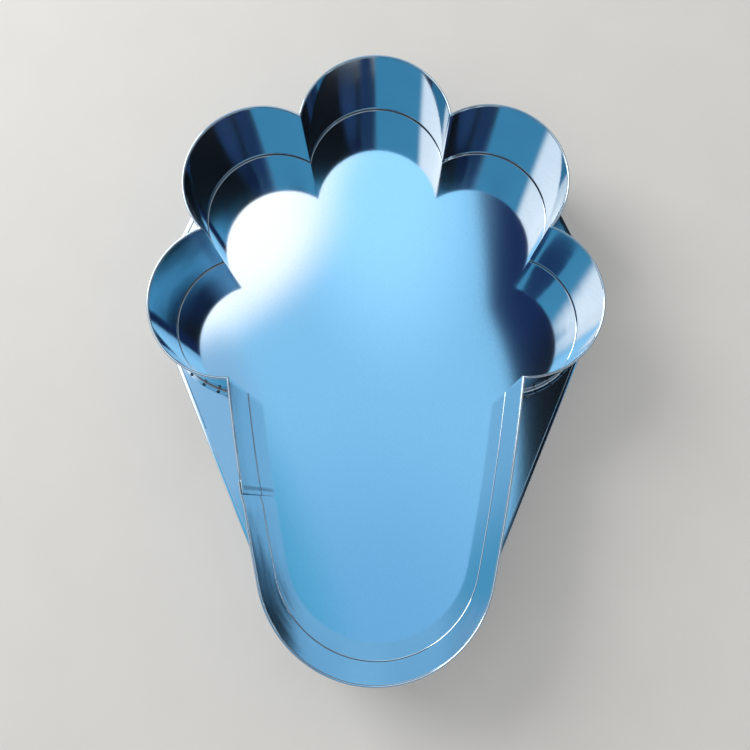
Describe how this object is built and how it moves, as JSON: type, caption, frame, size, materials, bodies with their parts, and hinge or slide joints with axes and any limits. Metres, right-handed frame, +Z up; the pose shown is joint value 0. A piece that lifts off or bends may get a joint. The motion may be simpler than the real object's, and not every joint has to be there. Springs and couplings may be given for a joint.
{
  "type": "shaped cake pan",
  "caption": "Flat-bottomed tinplate cake pan in a scalloped flower-over-stem outline, straight walls with a hemmed rim, spot welded to a wider hemmed base plate.",
  "frame": {"origin": "under the middle of the base plate, on the surface the pan stands on", "axes": "+Z up out of the pan, +Y along the pan towards the top lobe, +X to the right with the side seam on the left"},
  "size_m": [0.2552, 0.349, 0.06],
  "materials": {
    "wall_sheet": "bright rolled tinplate",
    "base_sheet": "bright rolled tinplate with a fine grain",
    "weld": "dull spot-weld mark"
  },
  "bodies": {
    "root": {"base_plate": "base_sheet", "wall_strip": "wall_sheet", "seam_weld_1": "weld", "seam_weld_2": "weld", "seam_weld_3": "weld", "seam_weld_4": "weld", "seam_weld_5": "weld", "seam_weld_6": "weld", "seam_weld_7": "weld", "seam_weld_8": "weld", "seam_weld_9": "weld", "tip_weld_1": "weld", "tip_weld_2": "weld", "tip_weld_3": "weld", "tip_weld_4": "weld", "tip_weld_5": "weld", "tip_weld_6": "weld", "tip_weld_7": "weld", "right_side_weld_1": "weld", "right_side_weld_2": "weld", "right_side_weld_3": "weld", "right_side_weld_4": "weld", "left_side_weld_1": "weld", "left_side_weld_2": "weld", "left_side_weld_3": "weld", "left_side_weld_4": "weld", "lobe_1_weld_1": "weld", "lobe_1_weld_2": "weld", "lobe_1_weld_3": "weld", "lobe_1_weld_4": "weld", "lobe_2_weld_1": "weld", "lobe_2_weld_2": "weld", "lobe_2_weld_3": "weld", "lobe_2_weld_4": "weld", "lobe_3_weld_1": "weld", "lobe_3_weld_2": "weld", "lobe_3_weld_3": "weld", "lobe_3_weld_4": "weld", "lobe_4_weld_1": "weld", "lobe_4_weld_2": "weld", "lobe_4_weld_3": "weld", "lobe_4_weld_4": "weld", "lobe_5_weld_1": "weld", "lobe_5_weld_2": "weld", "lobe_5_weld_3": "weld", "lobe_5_weld_4": "weld"}
  },
  "joints": []
}
